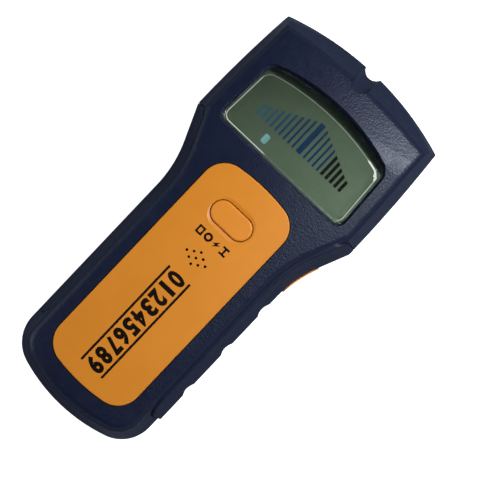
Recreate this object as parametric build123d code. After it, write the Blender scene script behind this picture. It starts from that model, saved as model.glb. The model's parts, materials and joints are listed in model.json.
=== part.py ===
from build123d import *
import os
from math import atan2, degrees, radians, sqrt, tan

# Hand-held stud finder.  Millimetres.
# +Y runs from the tail to the marking notch, +Z is the display side, +X is the right-hand side.
# The origin is under the middle of the tool, on the plane that the four felt pads stand on.

# ---- Driving dimensions ----
LENGTH = 161.0
HEAD_WIDTH = 75.6
HANDLE_WIDTH = 57.2
CASE_BOTTOM = 1.0
CASE_TOP = 33.0
WALL = 2.2
GRIP_DEPTH = 2.5
SEAM_Z = 12.0                 # where the two shells meet
SEAM_GAP = 0.25
FIT = 0.3                     # clearance round parts that move or drop in
SEAT_GAP = 0.06               # glue line behind parts that are stuck in

# ---- Outer form ----
NOSE_Y = 80.0
TAIL_Y = NOSE_Y - LENGTH
HEAD_HALF = HEAD_WIDTH / 2
HANDLE_HALF = HANDLE_WIDTH / 2
FRONT_HALF = 35.8
FRONT_CORNER_Y = 74.2
HEAD_BULGE = (37.3, 52.5)     # a point on the gently curved side of the head
SHOULDER_Y = 30.0
NECK_Y = 8.4
TAIL_RADIUS = 63.0
TAIL_CORNER_RADIUS = 13.5
NECK_RADIUS = 45.0
SHOULDER_RADIUS = 1.2
FRONT_CORNER_RADIUS = 0.8
TAPER_Z = 13.0                # sides stand upright below this height
TAPER = 14.0                  # and lean inwards by this angle above it
NOSE_TAPER = 25.0             # the nose leans further, on a flatter arc
NOSE_RADIUS = 180.0
CROWN_RADIUS = 150.0
SLOPE_RADIUS = 220.0
SLOPE_Y = 58.5                # the face falls away towards the nose from here
SLOPE_ANGLE = 15.0
RIDGE_RADIUS = 25.0
FACE_EDGE_RADIUS = 3.0
FACE_EDGE_MIN_Z = 23.5        # every edge of the face lies above this height
BOTTOM_EDGE_RADIUS = 2.0

# ---- Inside of the case ----
FLOOR_Z = CASE_BOTTOM + 2.4
HANDLE_WALL = WALL + GRIP_DEPTH
HANDLE_ROOF = 3.9
HANDLE_END_Y = 31.5
TAIL_START_Y = -62.5
LIP_THICKNESS = 0.9
LIP_HEIGHT = 1.25
LIP_GAP = 0.12

# ---- Marking notch ----
NOTCH_RADIUS = 3.75
NOTCH_Y = 81.4
NOTCH_LEAN = 26.0
NOTCH_WALL = 2.0

# ---- Window, lens and display ----
LEDGE_TOP = 27.8
LEDGE_BOTTOM = 26.6
RECESS_TAPER = 8.0
WINDOW_HALF = 28.9
WINDOW_TOP_HALF = 27.6
WINDOW_BOTTOM_Y = 31.2
WINDOW_CORNER_Y = 57.0
WINDOW_TOP_Y = 61.9
WINDOW_RADII = (3.5, 5.0)      # bottom and top corners
WELL_WALL = 2.0
LEDGE_WIDTH = 0.9
LENS_EDGE_Z = 28.3            # the foot of the lens is upright up to here
LENS_TOP = 30.3
LENS_EDGE_RADIUS = 0.5
LENS_FACE = (27.6, 26.4, 32.0, 53.9, 57.7, (3.2, 4.5))
DISPLAY_HALF = 28.6
DISPLAY_Y = (31.9, 60.9)
DISPLAY_Z = (24.1, 26.4)
REFLECTOR_INSET = 1.0
ZEBRA_WIDTH = 2.0
ZEBRA_INSET = 3.0
FRAME_WALL = 0.85
FRAME_TOP = 24.8

# ---- Front panel, select button and sounder grille ----
PANEL_HALF = 18.25
PANEL_Y = (-68.2, 23.85)
PANEL_END_SAG = 2.4
PANEL_CORNER_RADIUS = 9.0
PANEL_THICKNESS = 1.6
PANEL_PROUD = 0.15
PANEL_GAP = 0.3
PANEL_EDGE_RADIUS = 0.35
SELECT_Y = 8.0
SELECT_SIZE = (16.7, 8.6)
SELECT_PROUD = 0.45
SELECT_DISH = (1.4, 0.5)      # width and depth of the soft dish round the button
BUTTON_EDGE_RADIUS = 0.7
GRILLE_Y = -9.7
GRILLE_HOLE_RADIUS = 0.5
GRILLE_STEP = (2.15, 1.33)

# ---- Side grips and scan button ----
GRIP_Y = (-60.5, 30.0)
GRIP_Z = (4.5, 29.0)
GRIP_TAIL_RADIUS = 8.0
GRIP_HEAD_RADIUS = 4.0
GRIP_GAP = 0.3
FINGER_Y = (-7.4, -26.5, -46.2)
FINGER_RADIUS = 6.0
FINGER_DEPTH = 0.85
RIGHT_GRIP_PROUD = 0.9        # the finger side is padded out beyond the case
RIGHT_GRIP_EDGE_RADIUS = 0.5
SCAN_Y = 9.5
SCAN_Z = 9.0
SCAN_SIZE = (15.0, 7.6)
SCAN_PROUD = 1.4
SCAN_EDGE_RADIUS = 0.5
FLANGE_LIP = 1.3              # how far a button's flange reaches past its cap
SCAN_FLANGE_X = (20.0, 21.2)
SELECT_FLANGE_Z = (27.2, 28.4)
SELECT_STEM_Z = 26.6

SWITCH_HALF = 3.1
SWITCH_HEIGHT = 3.4
PLUNGER_RADIUS = 1.6
PLUNGER_FIT = 0.2
PLUNGER_WELL = 1.7            # depth of the hole that the plunger stands in
PLUNGER_SUNK = 0.5            # how much of the plunger is in it when nothing is pressed
PLUNGER_GAP = 0.1

# ---- Battery and its door ----
BATTERY = (26.5, 46.4, 17.5)
BATTERY_Y = -72.6
BATTERY_Z = 4.0
BATTERY_CORNER = 2.0
FOAM_X = (-10.0, 10.0)
FOAM_Y = (-65.0, -35.0)
TERMINAL_X = 6.35
TERMINAL_HEIGHT = 2.1
STUD_RADIUS = 2.9
SOCKET_RADIUS = 3.8
CONNECTOR_Y = -22.4
CONNECTOR_HALF = (12.5, 5.5)
LEAD_X = 3.5
LEAD_Z = 15.0
LEAD_END_Y = -12.0
LEAD_RADIUS = 0.8
LEAD_BEND = 4.8
DOOR_HALF = 16.0
DOOR_FRONT_Y = -18.2
DOOR_GAP = 0.25
TONGUE_WIDTH = 1.2
TONGUE_GAP = 0.2
TONGUE_Y = (-66.0, -20.0)
TONGUE_Z = (2.4, 3.4)
THUMB_GROOVE_Y = (-24.0, -27.0, -30.0)
THUMB_GROOVE_LENGTH = 14.0
THUMB_GROOVE_SIZE = 0.9
BOX_HALF = 14.2
BOX_WALL = 1.4
BOX_Y = (-71.0, -19.8)
BOX_CEILING = 22.5
RAIL_HALF = 19.0
RAIL_TOP = 4.8

# ---- Circuit boards ----
BOARD_THICKNESS = 1.6
SLOT_GAP = 0.15               # clearance where one inner part locates another
MAIN_Z = 20.4
MAIN_TOP = MAIN_Z + BOARD_THICKNESS
MAIN_AREAS = ((19.5, -17.5, 32.0), (30.0, 32.0, 62.0), (22.0, 62.0, 68.0))  # half width, Y limits
SENSOR_Z = 4.6
SENSOR_TOP = SENSOR_Z + BOARD_THICKNESS
SENSOR_HALF = 29.5
SENSOR_Y = (28.0, 60.0)
SENSOR_POST_RADIUS = 2.2
STAKE_RADIUS = 0.9
STAKE_HEIGHT = 0.8
PLATE_X = (14.0, 21.0)
PLATE_Y = (31.0, 58.0)
PLATE_THICKNESS = 0.1
COIL_Y = 43.0
COIL_RADIUS = 12.0
COIL_HEIGHT = 6.2
CORE_RADIUS = 5.8
CORE_HEIGHT = 7.0
BUZZER_TOP = 26.9
BUZZER_RADIUS = 6.0
BUZZER_PORT_RADIUS = 1.0
GASKET_WALL = 1.0
CHIP_Y = 23.0
CHIP_SIZE = 9.0
CHIP_HEIGHT = 1.4
CAPACITORS = ((-12.0, 21.0), (12.0, 21.0))
CAPACITOR_RADIUS = 2.5
CAPACITOR_HEIGHT = 5.0
CRYSTAL_X = (-16.0, -5.0)
CRYSTAL_Y = (-3.0, 1.5)
CRYSTAL_HEIGHT = 3.5
CRYSTAL_CORNER = 2.0
SENSOR_POSTS = ((-24.0, 33.0), (24.0, 33.0), (-24.0, 56.0), (24.0, 56.0))
BOARD_SCREWS = ((-18.0, 65.2), (18.0, 65.2), (-16.5, -14.0), (16.5, -14.0))
HEADER_Y = 57.0
HEADER_PINS = 8
HEADER_PITCH = 2.54
HEADER_PIN_RADIUS = 0.35
SCAN_BOARD_X = (12.4, 14.0)
SCAN_BOARD_Y = (3.0, 16.0)
SCAN_BOARD_BOTTOM = 5.0
SCAN_RIB_WALL = 1.3
SCAN_RIB_TOP = 9.0

# ---- Fasteners and feet ----
CASE_SCREWS = ((-30.5, 66.0), (30.5, 66.0), (-20.6, -66.0), (20.6, -66.0))
CASE_SCREW_HEAD_Z = (2.4, 4.2)
CASE_SCREW_TIP_Z = 21.0
CASE_THREAD_RADIUS = 1.25
CASE_HEAD_RADIUS = 2.4
BOARD_SCREW_TIP_Z = 26.0
BOARD_THREAD_RADIUS = 0.95
BOARD_HEAD_RADIUS = 2.0
BOARD_HEAD_HEIGHT = 1.4
CROSS_LENGTH = 1.15           # of the head's radius
CROSS_WIDTH = 0.7
THREAD_GAP = 0.05
BOSS_RADIUS = 3.2
POST_RADIUS = 2.4
PAD_CENTRES = ((-28.0, 50.0), (28.0, 50.0), (-21.6, -50.0), (21.6, -50.0))
PAD_RADIUS = 5.0
PAD_THICKNESS = 1.2
PAD_GAP = 0.15

FAR = 200.0                   # longer than anything in the tool
PAST = 2.0                    # how far a cutting shape runs past what it cuts
ROOTED = 0.5                  # how far a post or rib starts inside the floor it stands on


# ---- Small helpers ----
def block(x, y, z):
    """A box given by its low and high limits on each axis."""
    size = (x[1] - x[0], y[1] - y[0], z[1] - z[0])
    centre = ((x[0] + x[1]) / 2, (y[0] + y[1]) / 2, (z[0] + z[1]) / 2)
    return Pos(*centre) * Box(*size)


def rod(x, y, radius, z):
    """An upright cylinder between two heights."""
    return Pos(x, y, (z[0] + z[1]) / 2) * Cylinder(radius, z[1] - z[0])


def rods(centres, radius, z):
    """The same upright cylinder at each centre."""
    return Part() + [rod(x, y, radius, z) for x, y in centres]


def prism(face, z):
    """A flat outline drawn out between two heights."""
    return extrude(Pos(0, 0, z[0]) * face, z[1] - z[0], dir=(0, 0, 1))


def round_corners(face, x, y, radius):
    """Round the pair of corners at plus and minus x."""
    corners = [v for v in face.vertices() if abs(abs(v.X) - x) < 0.5 and abs(v.Y - y) < 0.5]
    return fillet(corners, radius)


def grown(face, amount):
    return offset(face, amount=amount) if amount else face


# ---- Outer form ----
def plan_outline():
    """The widest section: rounded tail, straight handle, flared shoulders, broad head."""
    tail_corner_y = TAIL_Y + TAIL_RADIUS - sqrt(TAIL_RADIUS ** 2 - HANDLE_HALF ** 2)
    edges = [
        ThreePointArc((-HANDLE_HALF, tail_corner_y), (0, TAIL_Y), (HANDLE_HALF, tail_corner_y)),
        ThreePointArc((-FRONT_HALF, FRONT_CORNER_Y), (0, NOSE_Y), (FRONT_HALF, FRONT_CORNER_Y)),
    ]
    for side in (1, -1):
        neck = (side * HANDLE_HALF, NECK_Y)
        shoulder = (side * HEAD_HALF, SHOULDER_Y)
        bulge = (side * HEAD_BULGE[0], HEAD_BULGE[1])
        edges.append(Line((side * HANDLE_HALF, tail_corner_y), neck))
        edges.append(Line(neck, shoulder))
        edges.append(ThreePointArc(shoulder, bulge, (side * FRONT_HALF, FRONT_CORNER_Y)))
    face = Face(Wire(edges))
    face = round_corners(face, HANDLE_HALF, tail_corner_y, TAIL_CORNER_RADIUS)
    face = round_corners(face, HANDLE_HALF, NECK_Y, NECK_RADIUS)
    face = round_corners(face, HEAD_HALF, SHOULDER_Y, SHOULDER_RADIUS)
    return round_corners(face, FRONT_HALF, FRONT_CORNER_Y, FRONT_CORNER_RADIUS)


PLAN = plan_outline()


def crown(top):
    """Everything under the gently arched face, whose highest line is at this height."""
    return Pos(0, 0, top - CROWN_RADIUS) * Rot(90, 0, 0) * Cylinder(CROWN_RADIUS, 2 * FAR)


def face_limit(top):
    """Everything under the arched face and the slope that falls towards the nose."""
    slope = Pos(0, SLOPE_Y, top) * Rot(-SLOPE_ANGLE, 0, 0) * Pos(0, 0, -SLOPE_RADIUS)
    return crown(top) & slope * Rot(90, 0, 0) * Cylinder(SLOPE_RADIUS, 2 * FAR)


def nose_limit(inset):
    """Everything behind the nose, which leans back above the upright part."""
    centre_y = NOSE_Y - NOSE_RADIUS
    radius = NOSE_RADIUS - inset
    rise = CASE_TOP + PAST - TAPER_Z
    leaning = Cone(radius, radius - rise * tan(radians(NOSE_TAPER)), rise)
    return rod(0, centre_y, radius, (-FAR, TAPER_Z)) + Pos(0, centre_y, TAPER_Z + rise / 2) * leaning


def form(inset=0.0, bottom=CASE_BOTTOM, drop=0.0):
    """The sharp-edged body with its sides moved in by inset and its face lowered by drop."""
    outline = grown(PLAN, -inset)
    upright = prism(outline, (bottom, TAPER_Z))
    leaning = extrude(Pos(0, 0, TAPER_Z) * outline, CASE_TOP + PAST - TAPER_Z, taper=TAPER)
    return (upright + leaning) & face_limit(CASE_TOP - drop) & nose_limit(inset)


def core(inset):
    """The body without its outermost layer of this depth on the flanks; it runs past face and floor."""
    return form(inset, CASE_BOTTOM - PAST, -PAST)


def face_edges(solid):
    """The edges round and across the display face."""
    return [e for e in solid.edges() if e.bounding_box().min.Z > FACE_EDGE_MIN_Z]


def is_ridge_edge(edge):
    """True for the long lines across the head that bound the rounded ridge."""
    box = edge.bounding_box()
    return box.size.X > HEAD_HALF and abs(box.center().Y - SLOPE_Y) < RIDGE_RADIUS / 2


def notch_column(extra=0.0):
    """The marking notch: upright at first, then leaning back over the sloping nose."""
    circle = Pos(0, NOTCH_Y) * Circle(NOTCH_RADIUS + extra)
    upright = prism(circle, (0, TAPER_Z))
    rise = CASE_TOP + 2 * PAST - TAPER_Z
    lean = (0, -tan(radians(NOTCH_LEAN)), 1)
    leaning = extrude(Pos(0, 0, TAPER_Z) * circle, rise, dir=lean)
    return upright + leaning


def outer_form():
    """The finished outside: rounded edges and the marking notch."""
    solid = form()
    ridge = [e for e in face_edges(solid) if is_ridge_edge(e)]
    solid = fillet(ridge, RIDGE_RADIUS)
    rim = [e for e in face_edges(solid) if not is_ridge_edge(e)]
    solid = fillet(rim, FACE_EDGE_RADIUS)
    low = [e for e in solid.edges() if e.bounding_box().max.Z < CASE_BOTTOM + 0.01]
    solid = fillet(low, BOTTOM_EDGE_RADIUS)
    return solid - notch_column()


def cavity(grow=0.0):
    """The hollow of the closed case; a positive grow makes it that much bigger all round."""
    bottom = FLOOR_Z - grow
    head_start = HANDLE_END_Y - grow
    tail_end = TAIL_START_Y + grow
    head = form(WALL - grow, bottom, WALL - grow)
    handle = form(HANDLE_WALL - grow, bottom, HANDLE_ROOF - grow)
    tail = form(WALL - grow, bottom, HANDLE_ROOF - grow)
    head = head & block((-FAR, FAR), (head_start, FAR), (-FAR, FAR))
    handle = handle & block((-FAR, FAR), (tail_end, head_start), (-FAR, FAR))
    tail = tail & block((-FAR, FAR), (-FAR, tail_end), (-FAR, FAR))
    return head + handle + tail - notch_column(NOTCH_WALL - grow)


OUTER = outer_form()
HOLLOW = cavity()


# ---- Shapes shared by a cover and what fits into it ----
def grip_region(side, gap=0.0):
    """The rounded rectangle on the tool's flank that bounds a grip, drawn outwards from the middle."""
    y0, y1 = GRIP_Y[0] - gap, GRIP_Y[1] + gap
    z0, z1 = GRIP_Z[0] - gap, GRIP_Z[1] + gap
    face = Pos((y0 + y1) / 2, (z0 + z1) / 2) * Rectangle(y1 - y0, z1 - z0)
    tail_corners = [v for v in face.vertices() if v.X < 0]
    face = fillet(tail_corners, GRIP_TAIL_RADIUS)
    head_corners = [v for v in face.vertices() if v.X > y1 - 0.01]
    face = fillet(head_corners, GRIP_HEAD_RADIUS)
    return extrude(Plane.YZ * face, side * HEAD_WIDTH)


def grip_pocket(side):
    return grip_region(side, GRIP_GAP) - core(GRIP_DEPTH + SEAT_GAP)


def scan_column(margin, x):
    """The scan button's outline, grown by a margin and drawn along X."""
    slot = Pos(SCAN_Y, SCAN_Z) * SlotOverall(SCAN_SIZE[0] + 2 * margin, SCAN_SIZE[1] + 2 * margin)
    return Pos(x[0], 0, 0) * extrude(Plane.YZ * slot, x[1] - x[0])


def select_column(margin, z):
    """The select button's outline, grown by a margin and drawn along Z."""
    slot = Pos(0, SELECT_Y) * SlotOverall(SELECT_SIZE[0] + 2 * margin, SELECT_SIZE[1] + 2 * margin)
    return prism(slot, z)


def panel_outline(gap=0.0):
    """The front panel: straight sides, bowed ends, large corners."""
    low, high = PANEL_Y
    low_corner = low + PANEL_END_SAG
    high_corner = high - PANEL_END_SAG
    edges = [
        ThreePointArc((-PANEL_HALF, low_corner), (0, low), (PANEL_HALF, low_corner)),
        Line((PANEL_HALF, low_corner), (PANEL_HALF, high_corner)),
        ThreePointArc((PANEL_HALF, high_corner), (0, high), (-PANEL_HALF, high_corner)),
        Line((-PANEL_HALF, high_corner), (-PANEL_HALF, low_corner)),
    ]
    face = Face(Wire(edges))
    face = fillet(face.vertices(), PANEL_CORNER_RADIUS)
    return grown(face, gap)


def window_outline(half, top_half, bottom_y, corner_y, top_y, radii):
    """A window shape: flat bottom, sides that lean in, bowed top, rounded corners."""
    edges = [
        Line((-half, bottom_y), (half, bottom_y)),
        Line((half, bottom_y), (top_half, corner_y)),
        ThreePointArc((top_half, corner_y), (0, top_y), (-top_half, corner_y)),
        Line((-top_half, corner_y), (-half, bottom_y)),
    ]
    face = Face(Wire(edges))
    face = round_corners(face, half, bottom_y, radii[0])
    return round_corners(face, top_half, corner_y, radii[1])


WINDOW = window_outline(WINDOW_HALF, WINDOW_TOP_HALF, WINDOW_BOTTOM_Y, WINDOW_CORNER_Y,
                        WINDOW_TOP_Y, WINDOW_RADII)
GRILLE = [(0, 0), (0, 2), (0, -2), (2, 0), (-2, 0), (1, 1), (1, -1), (-1, 1), (-1, -1)]
GRILLE_HOLES = [(i * GRILLE_STEP[0], GRILLE_Y + j * GRILLE_STEP[1]) for i, j in GRILLE]


# ---- Case ----
def front_shell():
    shell = (OUTER & block((-FAR, FAR), (-FAR, FAR), (SEAM_Z, FAR))) - HOLLOW
    rebate = cavity(LIP_THICKNESS + LIP_GAP)
    rebate = rebate & block((-FAR, FAR), (-FAR, FAR), (0, SEAM_Z - SEAM_GAP + LIP_HEIGHT + LIP_GAP))
    shell = shell - rebate
    well = extrude(Pos(0, 0, LEDGE_BOTTOM) * grown(WINDOW, WELL_WALL), CASE_TOP, taper=-RECESS_TAPER)
    bosses = rods(CASE_SCREWS, BOSS_RADIUS, (SEAM_Z, FAR)) + rods(BOARD_SCREWS, POST_RADIUS, (MAIN_TOP, FAR))
    shell = shell + ((well + bosses) & OUTER)
    shell = shell - extrude(Pos(0, 0, LEDGE_TOP) * WINDOW, CASE_TOP, taper=-RECESS_TAPER)
    shell = shell - prism(grown(WINDOW, -LEDGE_WIDTH), (LEDGE_BOTTOM - PAST, LEDGE_TOP + PAST))
    panel_underside = crown(CASE_TOP + PANEL_PROUD - PANEL_THICKNESS - SEAT_GAP)
    shell = shell - (prism(panel_outline(PANEL_GAP), (LEDGE_TOP, FAR)) - panel_underside)
    shell = shell - select_column(FIT, (LEDGE_BOTTOM, FAR))
    shell = shell - rods(GRILLE_HOLES, GRILLE_HOLE_RADIUS, (LEDGE_BOTTOM, FAR))
    shell = shell - rods(CASE_SCREWS, CASE_THREAD_RADIUS + THREAD_GAP, (0, CASE_SCREW_TIP_Z + FIT))
    shell = shell - rods(BOARD_SCREWS, BOARD_THREAD_RADIUS + THREAD_GAP, (0, BOARD_SCREW_TIP_Z + FIT))
    for side in (1, -1):
        shell = shell - grip_pocket(side)
    return shell - scan_column(FIT, (SCAN_FLANGE_X[0], FAR))


def battery_box():
    """Walls, ceiling and door rails of the battery compartment, open below and at the tail."""
    half = BOX_HALF + BOX_WALL
    tail_y, front_y = BOX_Y
    top = BOX_CEILING + BOX_WALL
    flange_z = FLOOR_Z + DOOR_GAP
    box = block((-half, half), (tail_y, front_y), (flange_z, top))
    box = box + block((-RAIL_HALF, RAIL_HALF), (tail_y, front_y + BOX_WALL), (CASE_BOTTOM, RAIL_TOP))
    room = block((-BOX_HALF, BOX_HALF), (-FAR, front_y - BOX_WALL), (0, BOX_CEILING))
    lead_room = 2 * LEAD_RADIUS
    lead_x = (-LEAD_X - lead_room, LEAD_X + lead_room)
    lead_z = (LEAD_Z - lead_room, LEAD_Z + lead_room)
    return box - room - block(lead_x, (front_y - 2 * BOX_WALL, front_y + BOX_WALL), lead_z)


def door_opening():
    """The space that the battery door and its tongues slide in."""
    half = DOOR_HALF + DOOR_GAP
    plate = block((-half, half), (-FAR, DOOR_FRONT_Y + DOOR_GAP), (0, FLOOR_Z + DOOR_GAP))
    tongue_half = DOOR_HALF + TONGUE_WIDTH + TONGUE_GAP
    tongue_z = (TONGUE_Z[0] - TONGUE_GAP, FLOOR_Z + DOOR_GAP)
    return plate + block((-tongue_half, tongue_half), (-FAR, TONGUE_Y[1] + DOOR_GAP), tongue_z)


def scan_board_ribs():
    """Two slotted ribs that hold the small upright switch board by its ends."""
    x0, x1 = SCAN_BOARD_X
    ribs = Part()
    for y in SCAN_BOARD_Y:
        rib_y = (y - SCAN_RIB_WALL, y + SCAN_RIB_WALL)
        ribs = ribs + block((x0 - SCAN_RIB_WALL, x1 + SCAN_RIB_WALL), rib_y, (FLOOR_Z - ROOTED, SCAN_RIB_TOP))
    slot_y = (SCAN_BOARD_Y[0] - SLOT_GAP, SCAN_BOARD_Y[1] + SLOT_GAP)
    return ribs - block((x0 - SLOT_GAP, x1 + SLOT_GAP), slot_y, (SCAN_BOARD_BOTTOM, FAR))


def rear_shell():
    low_side = block((-FAR, FAR), (-FAR, FAR), (-FAR, SEAM_Z - SEAM_GAP))
    shell = (OUTER & low_side) - HOLLOW
    lip = cavity(LIP_THICKNESS) - HOLLOW
    lip_z = (SEAM_Z - SEAM_GAP - ROOTED, SEAM_Z - SEAM_GAP + LIP_HEIGHT)
    shell = shell + (lip & block((-FAR, FAR), (-FAR, FAR), lip_z))
    shell = shell + (battery_box() & cavity(ROOTED)) + scan_board_ribs()
    shell = shell + (rods(CASE_SCREWS, BOSS_RADIUS, (FLOOR_Z - ROOTED, SEAM_Z - SEAM_GAP)) & OUTER)
    shell = shell + rods(SENSOR_POSTS, SENSOR_POST_RADIUS, (FLOOR_Z - ROOTED, SENSOR_Z))
    shell = shell + rods(SENSOR_POSTS, STAKE_RADIUS, (SENSOR_Z, SENSOR_TOP + STAKE_HEIGHT))
    shell = shell - door_opening()
    shell = shell - rods(CASE_SCREWS, CASE_THREAD_RADIUS + FIT, (0, SEAM_Z + LIP_HEIGHT))
    shell = shell - rods(CASE_SCREWS, CASE_HEAD_RADIUS + FIT, (0, CASE_SCREW_HEAD_Z[1]))
    shell = shell - rods(PAD_CENTRES, PAD_RADIUS + PAD_GAP, (0, PAD_THICKNESS))
    for side in (1, -1):
        shell = shell - grip_pocket(side)
    return shell - scan_column(FIT, (SCAN_FLANGE_X[0], FAR))


def side_grip_left():
    """A rubber inlay that lies flush with the flank."""
    return (OUTER & grip_region(-1)) - core(GRIP_DEPTH)


def side_grip_right():
    """A padded rubber inlay with finger scallops and a hole for the scan button."""
    grip = (form(-RIGHT_GRIP_PROUD) & grip_region(1)) - core(GRIP_DEPTH)
    under_skin = form(-RIGHT_GRIP_PROUD / 2) + grip_region(1, -RIGHT_GRIP_EDGE_RADIUS)
    rim = [e for e in grip.edges() if not under_skin.is_inside(e.center())]
    grip = fillet(rim, RIGHT_GRIP_EDGE_RADIUS)
    grip = grip & block((0, HEAD_HALF), (-FAR, FAR), (-FAR, FAR))
    scallop_x = HANDLE_HALF + RIGHT_GRIP_PROUD - FINGER_DEPTH + FINGER_RADIUS
    scallops = rods([(scallop_x, y) for y in FINGER_Y], FINGER_RADIUS, (0, CASE_TOP))
    return grip - scallops - scan_column(FIT, (SCAN_FLANGE_X[0], FAR))


def front_panel():
    top = CASE_TOP + PANEL_PROUD
    panel = prism(panel_outline(), (LEDGE_TOP, FAR)) & crown(top)
    rim = [e for e in panel.edges() if e.bounding_box().min.Z > LEDGE_TOP + PANEL_THICKNESS]
    panel = fillet(rim, PANEL_EDGE_RADIUS)
    panel = panel - crown(top - PANEL_THICKNESS)
    dish_width, dish_depth = SELECT_DISH
    dish_outline = Pos(0, SELECT_Y) * SlotOverall(SELECT_SIZE[0] + 2 * FIT, SELECT_SIZE[1] + 2 * FIT)
    dish = Pos(0, 0, top - dish_depth) * dish_outline
    panel = panel - extrude(dish, 2 * dish_depth, taper=-degrees(atan2(dish_width, dish_depth)))
    panel = panel - select_column(FIT, (LEDGE_BOTTOM, FAR))
    return panel - rods(GRILLE_HOLES, GRILLE_HOLE_RADIUS, (LEDGE_BOTTOM, FAR))


def display_window():
    """The clear lens: an upright foot on the ledge and a raised flat face with sloping edges."""
    foot = grown(WINDOW, -PANEL_GAP)
    face = window_outline(*LENS_FACE)
    raised = loft([Pos(0, 0, LENS_EDGE_Z) * foot, Pos(0, 0, LENS_TOP) * face], ruled=True)
    rim = [e for e in raised.edges() if e.bounding_box().min.Z > LENS_TOP - 0.01]
    return prism(foot, (LEDGE_TOP, LENS_EDGE_Z)) + fillet(rim, LENS_EDGE_RADIUS)


# ---- Display ----
def lcd_cell():
    return block((-DISPLAY_HALF, DISPLAY_HALF), DISPLAY_Y, DISPLAY_Z)


def lcd_reflector():
    half = DISPLAY_HALF - REFLECTOR_INSET
    y = (DISPLAY_Y[0] + ZEBRA_WIDTH + 2 * FIT, DISPLAY_Y[1] - FIT)
    return block((-half, half), y, (MAIN_TOP, DISPLAY_Z[0]))


def zebra_strip():
    half = DISPLAY_HALF - ZEBRA_INSET
    y = (DISPLAY_Y[0] + FIT, DISPLAY_Y[0] + FIT + ZEBRA_WIDTH)
    return block((-half, half), y, (MAIN_TOP, DISPLAY_Z[0]))


def lcd_frame():
    half = DISPLAY_HALF + SLOT_GAP
    y = (DISPLAY_Y[0] - SLOT_GAP, DISPLAY_Y[1] + SLOT_GAP)
    wall = FRAME_WALL
    frame = block((-half - wall, half + wall), (y[0] - wall, y[1] + wall), (MAIN_TOP, FRAME_TOP))
    return frame - block((-half, half), y, (0, FAR))


# ---- Buttons and their switches ----
def select_button():
    cap = select_column(0, (SELECT_STEM_Z, FAR)) & crown(CASE_TOP + SELECT_PROUD)
    rim = [e for e in cap.edges() if e.bounding_box().min.Z > SELECT_FLANGE_Z[1] + 1]
    cap = fillet(rim, BUTTON_EDGE_RADIUS)
    return cap + select_column(FLANGE_LIP, SELECT_FLANGE_Z)


def scan_button():
    cap = scan_column(0, (SCAN_FLANGE_X[0], HEAD_WIDTH)) & form(-SCAN_PROUD)
    rim = [e for e in cap.edges() if e.bounding_box().min.X > HANDLE_HALF - 4]
    cap = fillet(rim, SCAN_EDGE_RADIUS)
    return cap + scan_column(FLANGE_LIP, SCAN_FLANGE_X)


def select_switch_body():
    half = SWITCH_HALF
    top = MAIN_TOP + SWITCH_HEIGHT
    body = block((-half, half), (SELECT_Y - half, SELECT_Y + half), (MAIN_TOP, top))
    return body - rod(0, SELECT_Y, PLUNGER_RADIUS + PLUNGER_FIT, (top - PLUNGER_WELL, FAR))


def select_switch_plunger():
    foot = MAIN_TOP + SWITCH_HEIGHT - PLUNGER_SUNK
    return rod(0, SELECT_Y, PLUNGER_RADIUS, (foot, SELECT_STEM_Z - PLUNGER_GAP))


def along_x(radius, x):
    """A cylinder on the scan button's centre line between two X values."""
    return Pos((x[0] + x[1]) / 2, SCAN_Y, SCAN_Z) * Rot(0, 90, 0) * Cylinder(radius, x[1] - x[0])


def scan_switch_body():
    half = SWITCH_HALF
    x = (SCAN_BOARD_X[1], SCAN_BOARD_X[1] + SWITCH_HEIGHT)
    body = block(x, (SCAN_Y - half, SCAN_Y + half), (SCAN_Z - half, SCAN_Z + half))
    return body - along_x(PLUNGER_RADIUS + PLUNGER_FIT, (x[1] - PLUNGER_WELL, FAR))


def scan_switch_plunger():
    foot = SCAN_BOARD_X[1] + SWITCH_HEIGHT - PLUNGER_SUNK
    return along_x(PLUNGER_RADIUS, (foot, SCAN_FLANGE_X[0] - PLUNGER_GAP))


def scan_switch_board():
    return block(SCAN_BOARD_X, SCAN_BOARD_Y, (SCAN_BOARD_BOTTOM, MAIN_Z))


# ---- Electronics ----
def main_board():
    board = Part()
    for half, y0, y1 in MAIN_AREAS:
        board = board + block((-half, half), (y0, y1), (MAIN_Z, MAIN_TOP))
    return board - rods(BOARD_SCREWS, BOARD_THREAD_RADIUS + FIT, (MAIN_Z, MAIN_TOP))


def sensor_board():
    board = block((-SENSOR_HALF, SENSOR_HALF), SENSOR_Y, (SENSOR_Z, SENSOR_TOP))
    return board - rods(SENSOR_POSTS, STAKE_RADIUS + SLOT_GAP, (0, FAR))


def sensor_plates():
    """Two copper plates beside the coil that feel the wall's density."""
    right = block(PLATE_X, PLATE_Y, (SENSOR_TOP, SENSOR_TOP + PLATE_THICKNESS))
    return right + mirror(right, Plane.YZ)


def detection_coil():
    z = (SENSOR_TOP + SLOT_GAP, SENSOR_TOP + COIL_HEIGHT)
    return rod(0, COIL_Y, COIL_RADIUS, z) - rod(0, COIL_Y, CORE_RADIUS + SLOT_GAP, z)


def coil_core():
    return rod(0, COIL_Y, CORE_RADIUS, (SENSOR_TOP, SENSOR_TOP + CORE_HEIGHT))


def header_centres():
    first = -HEADER_PITCH * (HEADER_PINS - 1) / 2
    return [(first + i * HEADER_PITCH, HEADER_Y) for i in range(HEADER_PINS)]


def header_block():
    half = HEADER_PITCH * HEADER_PINS / 2
    y = (HEADER_Y - HEADER_PITCH / 2, HEADER_Y + HEADER_PITCH / 2)
    body = block((-half, half), y, (SENSOR_TOP, SENSOR_TOP + HEADER_PITCH))
    return body - rods(header_centres(), HEADER_PIN_RADIUS + SEAT_GAP, (0, FAR))


def header_pins():
    return rods(header_centres(), HEADER_PIN_RADIUS, (SENSOR_TOP, MAIN_Z))


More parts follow.
